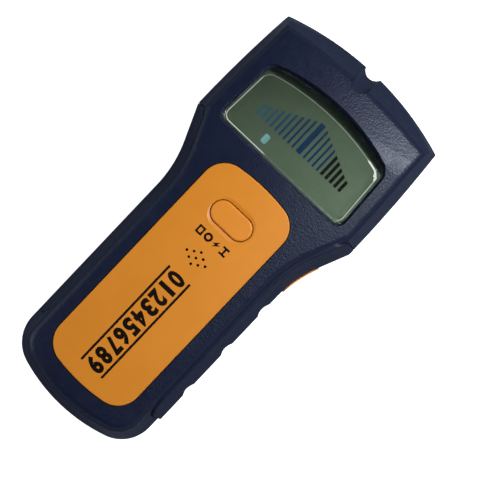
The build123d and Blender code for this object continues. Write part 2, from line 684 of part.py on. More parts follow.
def controller_chip():
    half = CHIP_SIZE / 2
    return block((-half, half), (CHIP_Y - half, CHIP_Y + half), (MAIN_TOP, MAIN_TOP + CHIP_HEIGHT))


def capacitors():
    return rods(CAPACITORS, CAPACITOR_RADIUS, (MAIN_TOP, MAIN_TOP + CAPACITOR_HEIGHT))


def crystal():
    can = block(CRYSTAL_X, CRYSTAL_Y, (MAIN_TOP, MAIN_TOP + CRYSTAL_HEIGHT))
    return fillet(can.edges().filter_by(Axis.Z), CRYSTAL_CORNER)


def buzzer():
    can = rod(0, GRILLE_Y, BUZZER_RADIUS, (MAIN_TOP, BUZZER_TOP))
    return can - rod(0, GRILLE_Y, BUZZER_PORT_RADIUS, (BUZZER_TOP - PLUNGER_WELL, FAR))


def buzzer_gasket():
    """A foam ring that leads the sound from the buzzer to the grille."""
    z = (BUZZER_TOP, CASE_TOP - HANDLE_ROOF - FIT)
    return rod(0, GRILLE_Y, BUZZER_RADIUS, z) - rod(0, GRILLE_Y, BUZZER_RADIUS - GASKET_WALL, z)


# ---- Battery ----
def battery():
    x, y, z = BATTERY
    case = block((-x / 2, x / 2), (BATTERY_Y, BATTERY_Y + y), (BATTERY_Z, BATTERY_Z + z))
    return fillet(case.edges().filter_by(Axis.Y), BATTERY_CORNER)


def along_y(x, radius, y):
    """A cylinder at the height of the battery's terminals between two Y values."""
    z = BATTERY_Z + BATTERY[2] / 2
    return Pos(x, (y[0] + y[1]) / 2, z) * Rot(90, 0, 0) * Cylinder(radius, y[1] - y[0])


def terminal_y():
    face = BATTERY_Y + BATTERY[1]
    return (face, face + TERMINAL_HEIGHT)


def battery_terminals():
    """One stud and one socket, side by side on the battery's end."""
    stud = along_y(-TERMINAL_X, STUD_RADIUS, terminal_y())
    socket = along_y(TERMINAL_X, SOCKET_RADIUS, terminal_y()) - along_y(TERMINAL_X, STUD_RADIUS, (-FAR, FAR))
    return stud + socket


def battery_connector():
    face, tip = terminal_y()
    z = BATTERY_Z + BATTERY[2] / 2
    half_width, half_height = CONNECTOR_HALF
    cap_z = (z - half_height, z + half_height)
    cap = block((-half_width, half_width), (face + SLOT_GAP, CONNECTOR_Y), cap_z)
    cap = fillet(cap.edges().filter_by(Axis.Y), BATTERY_CORNER)
    cap = cap - along_y(-TERMINAL_X, STUD_RADIUS + SLOT_GAP, (-FAR, tip + SLOT_GAP))
    return cap - along_y(TERMINAL_X, SOCKET_RADIUS + SLOT_GAP, (-FAR, tip + SLOT_GAP))


def battery_lead(x):
    """One wire from the connector, through the compartment wall and up to the main board."""
    corner = (x, LEAD_END_Y, LEAD_Z)
    path = FilletPolyline((x, CONNECTOR_Y, LEAD_Z), corner, (x, LEAD_END_Y, MAIN_Z), radius=LEAD_BEND)
    start = Plane(origin=(x, CONNECTOR_Y, LEAD_Z), z_dir=(0, 1, 0))
    return sweep(start * Circle(LEAD_RADIUS), path=path)


def battery_door():
    plate = OUTER & block((-DOOR_HALF, DOOR_HALF), (-FAR, DOOR_FRONT_Y), (0, FLOOR_Z))
    tongue_half = DOOR_HALF + TONGUE_WIDTH
    plate = plate + block((-tongue_half, tongue_half), TONGUE_Y, TONGUE_Z)
    for y in THUMB_GROOVE_Y:
        groove = Box(THUMB_GROOVE_LENGTH, THUMB_GROOVE_SIZE, THUMB_GROOVE_SIZE)
        plate = plate - Pos(0, y, CASE_BOTTOM) * Rot(45, 0, 0) * groove
    return plate


def battery_foam_pad():
    return block(FOAM_X, FOAM_Y, (BATTERY_Z + BATTERY[2], BOX_CEILING))


# ---- Fasteners and feet ----
def screws(centres, shaft_radius, head_radius, head_z, tip_z):
    """Cross-headed screws driven upwards from below."""
    group = rods(centres, head_radius, head_z) + rods(centres, shaft_radius, (head_z[0], tip_z))
    slot = Box(CROSS_LENGTH * head_radius, CROSS_WIDTH, head_z[1] - head_z[0])
    for x, y in centres:
        for turn in (0, 90):
            group = group - Pos(x, y, head_z[0]) * Rot(0, 0, turn) * slot
    return group


def case_screws():
    return screws(CASE_SCREWS, CASE_THREAD_RADIUS, CASE_HEAD_RADIUS, CASE_SCREW_HEAD_Z, CASE_SCREW_TIP_Z)


def board_screws():
    head_z = (MAIN_Z - BOARD_HEAD_HEIGHT, MAIN_Z)
    return screws(BOARD_SCREWS, BOARD_THREAD_RADIUS, BOARD_HEAD_RADIUS, head_z, BOARD_SCREW_TIP_Z)


def felt_pads():
    return rods(PAD_CENTRES, PAD_RADIUS, (0, PAD_THICKNESS))


NODES = {
    "front_shell": front_shell(),
    "rear_shell": rear_shell(),
    "side_grip_left": side_grip_left(),
    "side_grip_right": side_grip_right(),
    "front_panel": front_panel(),
    "display_window": display_window(),
    "lcd_cell": lcd_cell(),
    "lcd_reflector": lcd_reflector(),
    "lcd_frame": lcd_frame(),
    "zebra_strip": zebra_strip(),
    "select_button": select_button(),
    "select_switch_body": select_switch_body(),
    "select_switch_plunger": select_switch_plunger(),
    "scan_button": scan_button(),
    "scan_switch_board": scan_switch_board(),
    "scan_switch_body": scan_switch_body(),
    "scan_switch_plunger": scan_switch_plunger(),
    "main_board": main_board(),
    "sensor_board": sensor_board(),
    "sensor_plates": sensor_plates(),
    "detection_coil": detection_coil(),
    "coil_core": coil_core(),
    "header_block": header_block(),
    "header_pins": header_pins(),
    "controller_chip": controller_chip(),
    "capacitors": capacitors(),
    "crystal": crystal(),
    "buzzer": buzzer(),
    "buzzer_gasket": buzzer_gasket(),
    "battery": battery(),
    "battery_terminals": battery_terminals(),
    "battery_connector": battery_connector(),
    "battery_lead_red": battery_lead(LEAD_X),
    "battery_lead_black": battery_lead(-LEAD_X),
    "battery_door": battery_door(),
    "battery_foam_pad": battery_foam_pad(),
    "case_screws": case_screws(),
    "board_screws": board_screws(),
    "felt_pads": felt_pads(),
}

os.makedirs("parts", exist_ok=True)
for name, solid in NODES.items():
    export_step(solid, f"parts/{name}.step")
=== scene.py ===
import json
import math

import bmesh
import bpy
from mathutils import Matrix, Vector


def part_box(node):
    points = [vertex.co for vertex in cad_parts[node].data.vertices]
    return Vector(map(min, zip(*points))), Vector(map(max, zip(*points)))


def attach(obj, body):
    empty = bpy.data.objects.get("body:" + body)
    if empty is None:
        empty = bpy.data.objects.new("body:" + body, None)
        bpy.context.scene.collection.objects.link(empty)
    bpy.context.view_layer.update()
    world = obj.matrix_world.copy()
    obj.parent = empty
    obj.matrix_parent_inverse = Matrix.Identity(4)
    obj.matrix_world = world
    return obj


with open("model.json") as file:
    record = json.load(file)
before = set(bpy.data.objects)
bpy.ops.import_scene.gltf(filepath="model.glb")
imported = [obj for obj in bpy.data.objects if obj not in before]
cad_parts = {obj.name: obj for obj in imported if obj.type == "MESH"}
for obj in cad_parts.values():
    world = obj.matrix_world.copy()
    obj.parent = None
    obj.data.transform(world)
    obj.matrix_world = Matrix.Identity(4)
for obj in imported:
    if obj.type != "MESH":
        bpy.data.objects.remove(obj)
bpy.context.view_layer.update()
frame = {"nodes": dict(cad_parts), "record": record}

MM = 0.001
FLATNESS = 0.001 * MM                   # corners closer than this count as level, or as one

# ---- Camera: nearly overhead, the head pointing up and to the right ----
CAMERA_TARGET = Vector((11.3, 4.9, 17.0)) * MM
CAMERA_DISTANCE = 700 * MM
CAMERA_LEAN_X = math.radians(0.85)      # towards the right flank
CAMERA_LEAN_Y = math.radians(0.68)      # towards the nose
CAMERA_ROLL = math.radians(43.48)
FOCAL_LENGTH = 143.54                   # in millimetres, as Blender takes it, and so is the next one
SENSOR_WIDTH = 36
NEAREST_SEEN = 10 * MM

# ---- Studio: angles in degrees, distances and sizes in metres, power in watts ----
LIGHT_AIM = Vector((0, 20, 20)) * MM
KEY = {"azimuth": 50, "zenith": 36, "distance": 0.42, "size": 0.11, "power": 1.5}
FILL = {"azimuth": 215, "zenith": 58, "distance": 0.6, "size": 0.25, "power": 0.6}
SKY_OVERHEAD = 0.07
SKY_LOW = 0.6
SKY_HEIGHTS = (0.25, 0.6)               # the sky dims between these heights on the unit sphere
FLOOR_SIZE = 4.0
FLOOR_COLOUR = (0.92, 0.92, 0.92)
FLOOR_GLOW = 1.0                        # how strongly the floor shines, seen straight by the camera
FLOOR_REFLECTED = (0.18, 0.21, 0.29)    # the colour that the tool itself sees, so that its walls stay dark

# ---- Front face, repeated from the CAD part ----
CROWN_RADIUS = 150 * MM
PRINT_SINK = 0.05 * MM
PRINT_HEIGHT = 0.02 * MM
PRINT_STRIP = 1.0 * MM                  # marks are cut into strips this wide to bend over the crown

# ---- Marks on the panel ----
RULE_X = 4.75 * MM
RULE_WIDTH = 0.85 * MM
SCALE_Y = (-62.0 * MM, -17.7 * MM)
DIGIT_COUNT = 10
DIGIT_HEIGHT = 6.4 * MM
DIGIT_PITCH = 4.5 * MM
DIGIT_WIDTH = 3.7 * MM                  # wider figures are narrowed to this
DIGIT_BOLDNESS = 0.42 * MM
FIGURE_SHARE = 0.72                     # the height of a figure over the font's size
SIGN_Y = -1.55 * MM
SIGN_PITCH = 3.7 * MM
SIGN_WIDTH = 2.7 * MM
SIGN_HEIGHT = 3.2 * MM
SIGN_STROKE = 0.7 * MM
NUT_STROKE = 0.84 * MM
BOLT = ((0.6, 1.0), (-0.85, -0.2), (-0.15, -0.2), (-0.6, -1.0), (0.85, 0.2), (0.15, 0.2))  # in half heights
ROUND_SIDES = 24

# ---- Picture on the display ----
BAR_COUNT = 19
BAR_CENTRE = BAR_COUNT // 2
BAR_PITCH = 2.09 * MM
BAR_X = 0.2 * MM                        # the middle of the row
BAR_SPREAD = 0.6 * MM                   # extra room on both sides of the wide middle bar
BAR_Y = 40.75 * MM                      # the feet of the bars
BAR_TOPS = (45.0 * MM, 54.5 * MM)       # at the ends and at the middle
BAR_WIDTHS = {"thin": 0.8 * MM, "middle": 2.1 * MM, "dark": 1.2 * MM}
DARK_BARS = 5                           # the last ones of the row
BLUE_FADE = (-19 * MM, -6 * MM)         # X between which each row's ink goes from faint to full
BLACK_FADE = (8 * MM, 19 * MM)
SEGMENT_HEIGHT = 0.03 * MM
# The black band above the picture is painted shade, standing for the dark that the lens's upper slope shows
SHADE_BAND_HALF = 26.4 * MM
SHADE_BAND_INNER = (53.9 * MM, 57.7 * MM)     # Y of the arc's ends and of its middle
SHADE_BAND_OUTER = (56.2 * MM, 60.6 * MM)
SHADE_BAND_STEPS = 24
SHADE_BAND_FADE = (-20 * MM, 20 * MM)
# The lens rim is a painted highlight: a pale ring whose width follows where the lamps catch the edge
RIM_WIDTH = 0.26 * MM                   # the pale ring round the lens's face, a painted highlight
RIM_SINK = 0.06 * MM
RIM_STEP = 1.0 * MM
RIM_BRIGHT_END = -8 * MM                # the lower edge shows its full width up to this X
RIM_TOP_END = 20 * MM                   # the upper edge is thin up to this X
RIM_FACES_DOWN = -0.8                   # an edge whose outward Y is less than this is a lower one
RIM_FACES_UP = 0.2                      # and one whose outward Y is more than this is an upper one
RIM_SHARES = {"lower": 1.0, "lower right": 0.04, "upper": 0.2, "upper right": 2.2, "side": 0.6}
CELL_MARK = (-11.1 * MM, 36.6 * MM, 2.2 * MM, 3.4 * MM)     # X, Y, width and height
CELL_MARK_CORNER = 0.5 * MM


# ---- Camera and lights ----
def make_camera():
    """A long lens straight above the tool, rolled so that the tool lies across the picture."""
    lean_x, lean_y = math.sin(CAMERA_LEAN_X), math.sin(CAMERA_LEAN_Y)
    back = Vector((lean_x, lean_y, math.sqrt(1 - lean_x ** 2 - lean_y ** 2)))
    right = Vector((-math.sin(CAMERA_ROLL), math.cos(CAMERA_ROLL), 0)).cross(back).normalized()
    up = back.cross(right)
    data = bpy.data.cameras.new("camera")
    data.lens = FOCAL_LENGTH
    data.sensor_width = SENSOR_WIDTH
    data.clip_start = NEAREST_SEEN
    camera = bpy.data.objects.new("camera", data)
    camera.matrix_world = Matrix.Translation(CAMERA_TARGET + CAMERA_DISTANCE * back) @ Matrix(
        (right, up, back)).transposed().to_4x4()
    bpy.context.scene.collection.objects.link(camera)
    bpy.context.scene.camera = camera


def make_light(name, azimuth, zenith, distance, size, power):
    """A square soft box that faces the tool. Azimuth is measured from +X towards +Y."""
    turn, tilt = math.radians(azimuth), math.radians(zenith)
    towards = Vector((math.sin(tilt) * math.cos(turn), math.sin(tilt) * math.sin(turn), math.cos(tilt)))
    data = bpy.data.lights.new(name, "AREA")
    data.size = size
    data.energy = power
    light = bpy.data.objects.new(name, data)
    light.location = LIGHT_AIM + distance * towards
    light.rotation_euler = (-towards).to_track_quat("-Z", "Y").to_euler()
    bpy.context.scene.collection.objects.link(light)


def make_sky():
    """A pale room that is bright near the horizon and dim overhead."""
    sky = bpy.data.worlds.new("sky")
    sky.use_nodes = True
    tree = sky.node_tree
    place = tree.nodes.new("ShaderNodeTexCoord")
    split = tree.nodes.new("ShaderNodeSeparateXYZ")
    fade = tree.nodes.new("ShaderNodeMapRange")
    fade.interpolation_type = "SMOOTHSTEP"
    fade.inputs["From Min"].default_value = SKY_HEIGHTS[0]
    fade.inputs["From Max"].default_value = SKY_HEIGHTS[1]
    fade.inputs["To Min"].default_value = SKY_LOW
    fade.inputs["To Max"].default_value = SKY_OVERHEAD
    tree.links.new(place.outputs["Generated"], split.inputs[0])
    tree.links.new(split.outputs["Z"], fade.inputs["Value"])
    tree.links.new(fade.outputs["Result"], tree.nodes["Background"].inputs["Strength"])
    tree.nodes["Background"].inputs["Color"].default_value = (1, 1, 1, 1)
    bpy.context.scene.world = sky


# ---- Materials ----
CONSTANTS = {
    "metallic": "Metallic",
    "specular": "Specular IOR Level",
    "ior": "IOR",
    "transmission": "Transmission Weight",
    "coat": "Coat Weight",
    "coat_roughness": "Coat Roughness",
    "sheen": "Sheen Weight",
    "tint": "Specular Tint",
}
MIX_FIRST, MIX_SECOND, MIX_COLOUR = 6, 7, 2     # a Mix node's colour sockets
BEVEL_SAMPLES = 6
EDGE_COSINES = (0.99, 0.85)             # between true and bevelled normals, on open faces and on edges
BLUE_GLOSS = (0.80, 0.88, 1.0, 1.0)
LENS_ROUNDING = 2.4 * MM                # how far in from its edges the lens looks curved
LCD_PAINTED_LIGHT_FADE = (-82 * MM, -8 * MM)          # X - Y where the painted light on the glass is dimmest and where it is brightest
SLEEVE_BAND = (-40.0 * MM, -39.8 * MM)  # Y where the battery's sleeve turns from dark to pale


class Finish:
    """A Principled material. Its patterns are laid out in the tool's own space, in metres."""

    def __init__(self, name, colour, roughness, **constants):
        self.material = bpy.data.materials.new(name)
        self.material.use_nodes = True
        self.tree = self.material.node_tree
        self.shader = self.tree.nodes["Principled BSDF"]
        self.shader.inputs["Base Color"].default_value = (*colour, 1)
        self.shader.inputs["Roughness"].default_value = roughness
        for word, value in constants.items():
            self.shader.inputs[CONSTANTS[word]].default_value = value
        self.place = self.node("TexCoord").outputs["Object"]
        self.relief = None

    def node(self, kind, **settings):
        node = self.tree.nodes.new("ShaderNode" + kind)
        for name, value in settings.items():
            setattr(node, name, value)
        return node

    def feed(self, socket, source):
        """Gives a socket another node's output, a colour or a number."""
        if isinstance(source, bpy.types.NodeSocket):
            self.tree.links.new(source, socket)
        elif isinstance(source, tuple):
            socket.default_value = (*source, 1)
        else:
            socket.default_value = source

    def stretched(self, stretch):
        """The place, with each axis drawn out by its own factor."""
        if stretch is None:
            return self.place
        mapping = self.node("Mapping")
        mapping.inputs["Scale"].default_value = [1 / s for s in stretch]
        self.feed(mapping.inputs["Vector"], self.place)
        return mapping.outputs["Vector"]

    def noise(self, size, detail=2.0, stretch=None):
        """Clouds from 0 to 1 with features of about this size."""
        texture = self.node("TexNoise")
        texture.inputs["Scale"].default_value = 1 / size
        texture.inputs["Detail"].default_value = detail
        self.feed(texture.inputs["Vector"], self.stretched(stretch))
        return texture.outputs["Fac"]

    def cells(self, size):
        """The distance to the middle of the nearest of many cells, 0 at its middle."""
        texture = self.node("TexVoronoi")
        texture.inputs["Scale"].default_value = 1 / size
        self.feed(texture.inputs["Vector"], self.place)
        return texture.outputs["Distance"]

    def bands(self, pitch, axis, waver=0.0):
        """Even stripes across an axis, from 0 to 1. The texture repeats every pi / (10 * scale)."""
        texture = self.node("TexWave", bands_direction=axis)
        texture.inputs["Scale"].default_value = math.pi / (10 * pitch)
        texture.inputs["Distortion"].default_value = waver
        self.feed(texture.inputs["Vector"], self.place)
        return texture.outputs["Fac"]

    def along(self, axis):
        """The place along one axis, in metres."""
        split = self.node("SeparateXYZ")
        self.feed(split.inputs[0], self.place)
        return split.outputs[axis]

    def remap(self, value, start, end, low=0.0, high=1.0):
        """Low where the value is at start, high where it is at end."""
        fade = self.node("MapRange")
        fade.inputs["From Min"].default_value = start
        fade.inputs["From Max"].default_value = end
        fade.inputs["To Min"].default_value = low
        fade.inputs["To Max"].default_value = high
        self.feed(fade.inputs["Value"], value)
        return fade.outputs["Result"]

    def maths(self, operation, first, second):
        node = self.node("Math", operation=operation)
        self.feed(node.inputs[0], first)
        self.feed(node.inputs[1], second)
        return node.outputs[0]

    def mix(self, share, first, second):
        """A colour that goes from the first to the second as the share goes from 0 to 1."""
        node = self.node("Mix", data_type="RGBA")
        self.feed(node.inputs["Factor"], share)
        self.feed(node.inputs[MIX_FIRST], first)
        self.feed(node.inputs[MIX_SECOND], second)
        return node.outputs[MIX_COLOUR]

    def edges(self, width):
        """1 along sharp edges, to about this width, and 0 on open faces."""
        bevel = self.node("Bevel", samples=BEVEL_SAMPLES)
        bevel.inputs["Radius"].default_value = width
        compare = self.node("VectorMath", operation="DOT_PRODUCT")
        self.feed(compare.inputs[0], bevel.outputs["Normal"])
        self.feed(compare.inputs[1], self.node("NewGeometry").outputs["Normal"])
        return self.remap(compare.outputs["Value"], *EDGE_COSINES)

    def soften(self, radius):
        """Rounds sharp edges off in the shading; called before any bump."""
        bevel = self.node("Bevel", samples=BEVEL_SAMPLES)
        bevel.inputs["Radius"].default_value = radius
        self.relief = bevel.outputs["Normal"]

    def paint(self, colour):
        self.feed(self.shader.inputs["Base Color"], colour)

    def polish(self, roughness):
        self.feed(self.shader.inputs["Roughness"], roughness)

    def bump(self, height, depth):
        """Raises the surface by depth where height is 1, on top of any earlier bump."""
        node = self.node("Bump")
        node.inputs["Distance"].default_value = depth
        self.feed(node.inputs["Height"], height)
        if self.relief:
            self.feed(node.inputs["Normal"], self.relief)
        self.relief = node.outputs["Normal"]
        self.feed(self.shader.inputs["Normal"], self.relief)


def moulded(name, dark, light, worn, roughness, grain, depth, **constants):
    """Moulded plastic: faint clouds of colour, a fine grain, and edges rubbed paler by hands."""
    finish = Finish(name, dark, roughness, **constants)
    clouds = finish.remap(finish.noise(14 * MM, 4), 0.35, 0.65)
    body = finish.mix(clouds, dark, light)
    rubbed = finish.maths("MULTIPLY", finish.edges(0.5 * MM), finish.remap(finish.noise(2 * MM), 0.4, 0.7))
    finish.paint(finish.mix(rubbed, body, worn))
    finish.polish(finish.remap(finish.noise(3 * MM, 4), 0.3, 0.7, roughness - 0.04, roughness + 0.04))
    finish.bump(finish.noise(grain, 3), depth)
    return finish


def case_navy():
    """Dark navy housing with a spark-eroded grain that glitters where it catches the light."""
    return moulded("case_navy", (0.0030, 0.0068, 0.0270), (0.0042, 0.0085, 0.0320), (0.014, 0.019, 0.045),
                   0.40, 0.75 * MM, 0.11 * MM, specular=0.43, tint=BLUE_GLOSS)


def grip_navy():
    """Soft navy rubber, duller than the housing, with a close stipple."""
    finish = moulded("grip_navy", (0.0045, 0.0085, 0.0290), (0.0060, 0.0105, 0.0330), (0.012, 0.016, 0.036),
                     0.46, 0.6 * MM, 0.012 * MM, specular=0.35, tint=BLUE_GLOSS)
    finish.bump(finish.cells(0.5 * MM), 0.02 * MM)
    return finish


def panel_orange():
    """Satin orange plate."""
    return moulded("panel_orange", (0.720, 0.252, 0.017), (0.750, 0.267, 0.020), (0.72, 0.29, 0.04),
                   0.45, 0.35 * MM, 0.004 * MM, specular=0.4)


def button_orange():
    """The same plastic as the plate, a little paler."""
    return moulded("button_orange", (0.770, 0.264, 0.023), (0.800, 0.280, 0.028), (0.76, 0.31, 0.05),
                   0.42, 0.35 * MM, 0.004 * MM, specular=0.4)


def lens_clear():
    """Polished clear acrylic that lets lamps light what is under it."""
    finish = Finish("lens_clear", (0.93, 0.96, 0.94), 0.02, transmission=1.0, ior=1.49)
    finish.soften(LENS_ROUNDING)
    finish.bump(finish.noise(9 * MM, 1), 0.004 * MM)
    open_to_lamps = finish.node("BsdfTransparent")
    open_to_lamps.inputs["Color"].default_value = (0.88, 0.92, 0.89, 1)
    choice = finish.node("MixShader")
    finish.feed(choice.inputs[0], finish.node("LightPath").outputs["Is Shadow Ray"])
    finish.feed(choice.inputs[1], finish.shader.outputs[0])
    finish.feed(choice.inputs[2], open_to_lamps.outputs[0])
    finish.feed(finish.tree.nodes["Material Output"].inputs["Surface"], choice.outputs[0])
    return finish


def lcd_glass():
    """Grey-green display glass, paler towards the low right: painted light that stands for the lamps'
    reflection across the display.
    """
    finish = Finish("lcd_glass", (0.07, 0.10, 0.065), 0.3, specular=0.15)
    # painted light: the glass grows paler towards the low right, with a random mottle on top
    painted_light_slant = finish.maths("SUBTRACT", finish.along("X"), finish.along("Y"))
    share = finish.remap(painted_light_slant, *LCD_PAINTED_LIGHT_FADE)
    mottle = finish.remap(finish.noise(1.2 * MM, 5), 0.3, 0.7, -0.06, 0.06)
    painted_light_and_mottle = finish.maths("ADD", share, mottle)
    finish.paint(finish.mix(painted_light_and_mottle, (0.019, 0.028, 0.017), (0.076, 0.104, 0.070)))
    finish.polish(finish.remap(finish.noise(0.4 * MM), 0.3, 0.7, 0.25, 0.38))
    return finish


def reflector_white():
    finish = Finish("reflector_white", (0.75, 0.76, 0.72), 0.35)
    finish.paint(finish.mix(finish.noise(5 * MM), (0.70, 0.71, 0.67), (0.80, 0.81, 0.77)))
    finish.bump(finish.noise(0.3 * MM), 0.005 * MM)
    return finish


def frame_black():
    return moulded("frame_black", (0.012, 0.012, 0.013), (0.018, 0.018, 0.019), (0.05, 0.05, 0.05),
                   0.55, 0.3 * MM, 0.01 * MM, specular=0.3)


def zebra_rubber():
    """Thin carbon layers between pink silicone, side by side along the strip."""
    finish = Finish("zebra_rubber", (0.55, 0.32, 0.33), 0.6)
    layers = finish.remap(finish.bands(0.36 * MM, "X"), 0.4, 0.6)
    finish.paint(finish.mix(layers, (0.55, 0.32, 0.33), (0.03, 0.03, 0.03)))
    finish.bump(layers, 0.01 * MM)
    return finish


def board_green():
    """Solder mask over copper tracks that run in both directions."""
    finish = Finish("board_green", (0.012, 0.10, 0.04), 0.3, coat=0.4, coat_roughness=0.15)
    across = finish.remap(finish.bands(1.27 * MM, "X"), 0.72, 0.8)
    down = finish.remap(finish.bands(1.27 * MM, "Y"), 0.72, 0.8)
    region = finish.remap(finish.noise(7 * MM, 0), 0.49, 0.51)
    tracks = finish.mix(region, across, down)
    holes = finish.remap(finish.cells(3.2 * MM), 0.10, 0.08)
    masked = finish.mix(tracks, (0.010, 0.085, 0.034), (0.030, 0.17, 0.065))
    finish.paint(finish.mix(holes, masked, (0.50, 0.42, 0.22)))
    finish.polish(finish.remap(finish.noise(2 * MM), 0.3, 0.7, 0.25, 0.4))
    finish.bump(tracks, 0.03 * MM)
    return finish


def metal(name, dark, light, roughness, **constants):
    """Bare or plated metal with rub marks and slow changes of tone."""
    finish = Finish(name, light, roughness, metallic=1.0, **constants)
    finish.paint(finish.mix(finish.remap(finish.noise(2.5 * MM, 4), 0.3, 0.7), dark, light))
    marks = finish.noise(0.25 * MM, 3, stretch=(1, 6, 1))
    finish.polish(finish.remap(marks, 0.3, 0.7, roughness - 0.1, roughness + 0.1))
    finish.bump(marks, 0.003 * MM)
    return finish


def copper():
    return metal("copper", (0.60, 0.30, 0.15), (0.78, 0.44, 0.24), 0.35)


def coil_wire():
    """Turns of enamelled wire, side by side."""
    finish = metal("coil_wire", (0.40, 0.12, 0.04), (0.62, 0.24, 0.09), 0.3, coat=0.5)
    finish.bump(finish.bands(0.31 * MM, "Z", 0.4), 0.08 * MM)
    return finish


def ferrite():
    finish = Finish("ferrite", (0.05, 0.05, 0.055), 0.7, specular=0.4)
    finish.paint(finish.mix(finish.noise(0.8 * MM, 5), (0.035, 0.035, 0.04), (0.075, 0.075, 0.08)))
    finish.bump(finish.noise(0.2 * MM, 4), 0.02 * MM)
    return finish


def chip_black():
    return moulded("chip_black", (0.010, 0.010, 0.011), (0.016, 0.016, 0.017), (0.04, 0.04, 0.04),
                   0.5, 0.15 * MM, 0.008 * MM, specular=0.4)


def can_aluminium():
    return metal("can_aluminium", (0.66, 0.67, 0.69), (0.80, 0.81, 0.83), 0.32)


def steel():
    return metal("steel", (0.42, 0.42, 0.43), (0.62, 0.62, 0.64), 0.34)


def plunger_white():
    return moulded("plunger_white", (0.62, 0.62, 0.60), (0.72, 0.72, 0.70), (0.78, 0.78, 0.76),
                   0.45, 0.2 * MM, 0.004 * MM)


def battery_sleeve():
    """A printed sleeve: a dark body with a plain pale band near one end, and no lettering."""
    finish = Finish("battery_sleeve", (0.03, 0.035, 0.05), 0.3, coat=0.3)
    band = finish.remap(finish.along("Y"), *SLEEVE_BAND)
    body = finish.mix(finish.noise(6 * MM), (0.025, 0.03, 0.045), (0.035, 0.04, 0.06))
    finish.paint(finish.mix(band, body, (0.45, 0.46, 0.48)))
    finish.polish(finish.remap(finish.noise(1.5 * MM), 0.3, 0.7, 0.24, 0.4))
    finish.bump(finish.noise(4 * MM), 0.05 * MM)
    return finish


def lead(name, dark, light):
    """Smooth wire insulation."""
    finish = Finish(name, light, 0.35)
    finish.paint(finish.mix(finish.noise(1.5 * MM), dark, light))
    finish.bump(finish.noise(0.4 * MM), 0.01 * MM)
    return finish


def lead_red():
    return lead("lead_red", (0.38, 0.008, 0.008), (0.50, 0.014, 0.012))


def lead_black():
    return lead("lead_black", (0.008, 0.008, 0.008), (0.014, 0.014, 0.014))


def foam_grey():
    """Open-cell foam, darker in its pores: painted shade in the pits."""
    finish = Finish("foam_grey", (0.08, 0.08, 0.085), 0.95, specular=0.1)
    pores = finish.remap(finish.cells(0.5 * MM), 0.1, 0.55)
    # painted shade: darker at the bottom of each pore
    finish.paint(finish.mix(pores, (0.03, 0.03, 0.032), (0.11, 0.11, 0.115)))
    finish.bump(pores, 0.15 * MM)
    return finish


def felt_grey():
    """Pressed felt: short fibres that lie in two directions, with painted shade in the gaps between the
    raised fibres.
    """
    finish = Finish("felt_grey", (0.1, 0.1, 0.11), 0.95, specular=0.1, sheen=0.3)
    along_x = finish.noise(0.12 * MM, 2, stretch=(8, 1, 1))
    along_y = finish.noise(0.13 * MM, 2, stretch=(1, 8, 1))
    fibres = finish.maths("MAXIMUM", along_x, along_y)
    # the fibre pattern, partly real tone and partly painted shade darkening the gaps
    finish.paint(finish.mix(finish.remap(fibres, 0.4, 0.75), (0.05, 0.05, 0.055), (0.17, 0.17, 0.18)))
    finish.bump(fibres, 0.1 * MM)
    return finish


FINISHES = {make.__name__: make().material for make in (
    case_navy, grip_navy, panel_orange, button_orange, lens_clear, lcd_glass, reflector_white, frame_black,
    zebra_rubber, board_green, copper, coil_wire, ferrite, chip_black, can_aluminium, steel, plunger_white,
    battery_sleeve, lead_red, lead_black, foam_grey, felt_grey)}


def ink_black():
    """Pad-printed black ink, slightly thin in places."""
    finish = Finish("ink_black", (0.006, 0.005, 0.005), 0.55, specular=0.05)
    thinness = finish.remap(finish.noise(0.5 * MM, 4), 0.35, 0.75)
    finish.paint(finish.mix(thinness, (0.004, 0.003, 0.003), (0.014, 0.009, 0.006)))
    finish.bump(finish.noise(0.3 * MM, 2), 0.003 * MM)
    return finish


def segment_ink(name, faint, full, start, end):
    """Liquid crystal that is switched on, fainter towards one end of the row. The same ink also makes the
    band of painted shade above the picture.
    """
    finish = Finish(name, full, 0.3, specular=0.05)
    share = finish.remap(finish.along("X"), start, end)
    mottle = finish.remap(finish.noise(0.5 * MM, 3), 0.3, 0.7, -0.1, 0.1)
    finish.paint(finish.mix(finish.maths("ADD", share, mottle), faint, full))
    return finish


def finish_nodes():
    """Gives every CAD node the finish of its slot in the record."""
    for subpart in frame["record"]["subparts"]:
        for slot in frame["nodes"][subpart["node"]].material_slots:
            slot.material = FINISHES[subpart["material_slot"]]


# ---- Thin pieces: ink and display segments ----
def rectangle(x, y, width, height):
    """Corners of a rectangle about a point, counter-clockwise."""
    left, right = x - width / 2, x + width / 2
    low, high = y - height / 2, y + height / 2
    return [(left, low), (right, low), (right, high), (left, high)]


def add_slab(mesh, outline, low, high):
    """Adds a closed flat slab with this outline between two heights."""
    bottom = [mesh.verts.new((x, y, low)) for x, y in outline]
    top = [mesh.verts.new((x, y, high)) for x, y in outline]
    mesh.faces.new(bottom[::-1])
    mesh.faces.new(top)
    for i in range(len(outline)):
        j = (i + 1) % len(outline)
        mesh.faces.new((bottom[i], bottom[j], top[j], top[i]))


def add_ring(mesh, outer, inner, low, high):
    """Adds a closed flat slab with a hole. Both outlines have the same number of corners."""
    places = [(outline, z) for outline in (outer, inner) for z in (low, high)]
    loops = [[mesh.verts.new((x, y, z)) for x, y in outline] for outline, z in places]
    outer_low, outer_high, inner_low, inner_high = loops
    for i in range(len(outer)):
        j = (i + 1) % len(outer)
        mesh.faces.new((outer_low[i], outer_low[j], outer_high[j], outer_high[i]))
        mesh.faces.new((inner_low[j], inner_low[i], inner_high[i], inner_high[j]))
        mesh.faces.new((outer_high[i], outer_high[j], inner_high[j], inner_high[i]))
        mesh.faces.new((outer_low[j], outer_low[i], inner_low[i], inner_low[j]))


